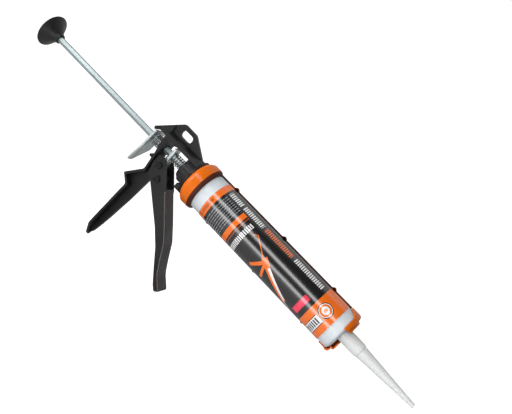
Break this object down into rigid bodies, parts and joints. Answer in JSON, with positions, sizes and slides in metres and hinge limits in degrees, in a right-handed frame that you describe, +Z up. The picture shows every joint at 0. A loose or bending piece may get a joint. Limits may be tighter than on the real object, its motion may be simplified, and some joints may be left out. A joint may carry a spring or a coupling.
{
  "type": "caulking gun",
  "caption": "Caulking gun with a swivelling half-shell cradle, hexagonal push rod, drive plate and trigger, loaded with a cartridge and long conical nozzle.",
  "frame": {"origin": "middle of the underside of the whole gun's box, at the toe of the handle, with the gun held level", "axes": "+X along the barrel from the pull knob towards the nozzle, +Z up with the handle below, cradle open towards -Y"},
  "size_m": [0.5954, 0.0556, 0.1783],
  "materials": {
    "black_paint": "satin",
    "black_plastic": "matte",
    "black_rubber": "matte",
    "orange_paint": "gloss",
    "zinc_plate": "satin",
    "steel": "satin",
    "white_plastic": "satin",
    "clear_plastic": "satin",
    "label_film": "gloss"
  },
  "bodies": {
    "frame": {"body_casting": "black_paint", "swivel_bush": "steel", "collar_nut": "black_plastic", "swivel_flange": "black_paint", "swivel_washer": "zinc_plate", "swivel_circlip": "steel", "rod_guide_bush": "black_plastic", "trigger_pivot_pin": "black_paint", "pivot_washer_near": "zinc_plate", "pivot_washer_far": "zinc_plate", "main_spring": "steel", "lever_spring": "steel"},
    "barrel": {"barrel_ring": "orange_paint", "ring_edging": "black_rubber", "cradle_shell": "orange_paint", "cradle_front_plate": "orange_paint", "cartridge_tube": "white_plastic", "cartridge_label": "label_film", "nozzle": "clear_plastic"},
    "plunger": {"cartridge_plunger": "white_plastic"},
    "rod": {"push_rod": "zinc_plate", "pull_knob": "black_plastic", "piston_disc": "zinc_plate", "piston_washer": "zinc_plate", "piston_nut": "zinc_plate"},
    "trigger": {"trigger": "black_paint", "thrust_pin": "black_paint", "thrust_block": "steel"},
    "drive": {"drive_plate": "zinc_plate"},
    "lever": {"release_lever": "zinc_plate"}
  },
  "joints": [
    {"name": "trigger_squeeze", "type": "hinge", "parent": "frame", "child": "trigger", "pos_m": [-0.0669, 0, 0.1122], "axis": [0, 1, 0], "range_deg": [0, 22], "stiffness_Nm_per_rad": 1, "springref_deg": -22.92},
    {"name": "drive_slide", "type": "slide", "parent": "frame", "child": "drive", "axis": [1, 0, 0], "range_m": [0, 0.0082], "deforming": ["main_spring"]},
    {"name": "rod_slide", "type": "slide", "parent": "frame", "child": "rod", "axis": [1, 0, 0], "range_m": [0, 0.165]},
    {"name": "barrel_spin", "type": "hinge", "parent": "frame", "child": "barrel", "pos_m": [0, 0, 0.1412], "axis": [1, 0, 0], "continuous": true},
    {"name": "plunger_slide", "type": "slide", "parent": "barrel", "child": "plunger", "axis": [1, 0, 0], "range_m": [0, 0.165]},
    {"name": "release_press", "type": "hinge", "parent": "frame", "child": "lever", "pos_m": [-0.1053, 0, 0.1517], "axis": [0, 1, 0], "range_deg": [-8, 0], "stiffness_Nm_per_rad": 0.2, "springref_deg": 17.19, "deforming": ["lever_spring"]}
  ],
  "couplings": [
    {"joint": "drive_slide", "follows": "trigger_squeeze", "m_per_rad": 0.02135},
    {"joint": "plunger_slide", "follows": "rod_slide", "ratio": 1}
  ]
}
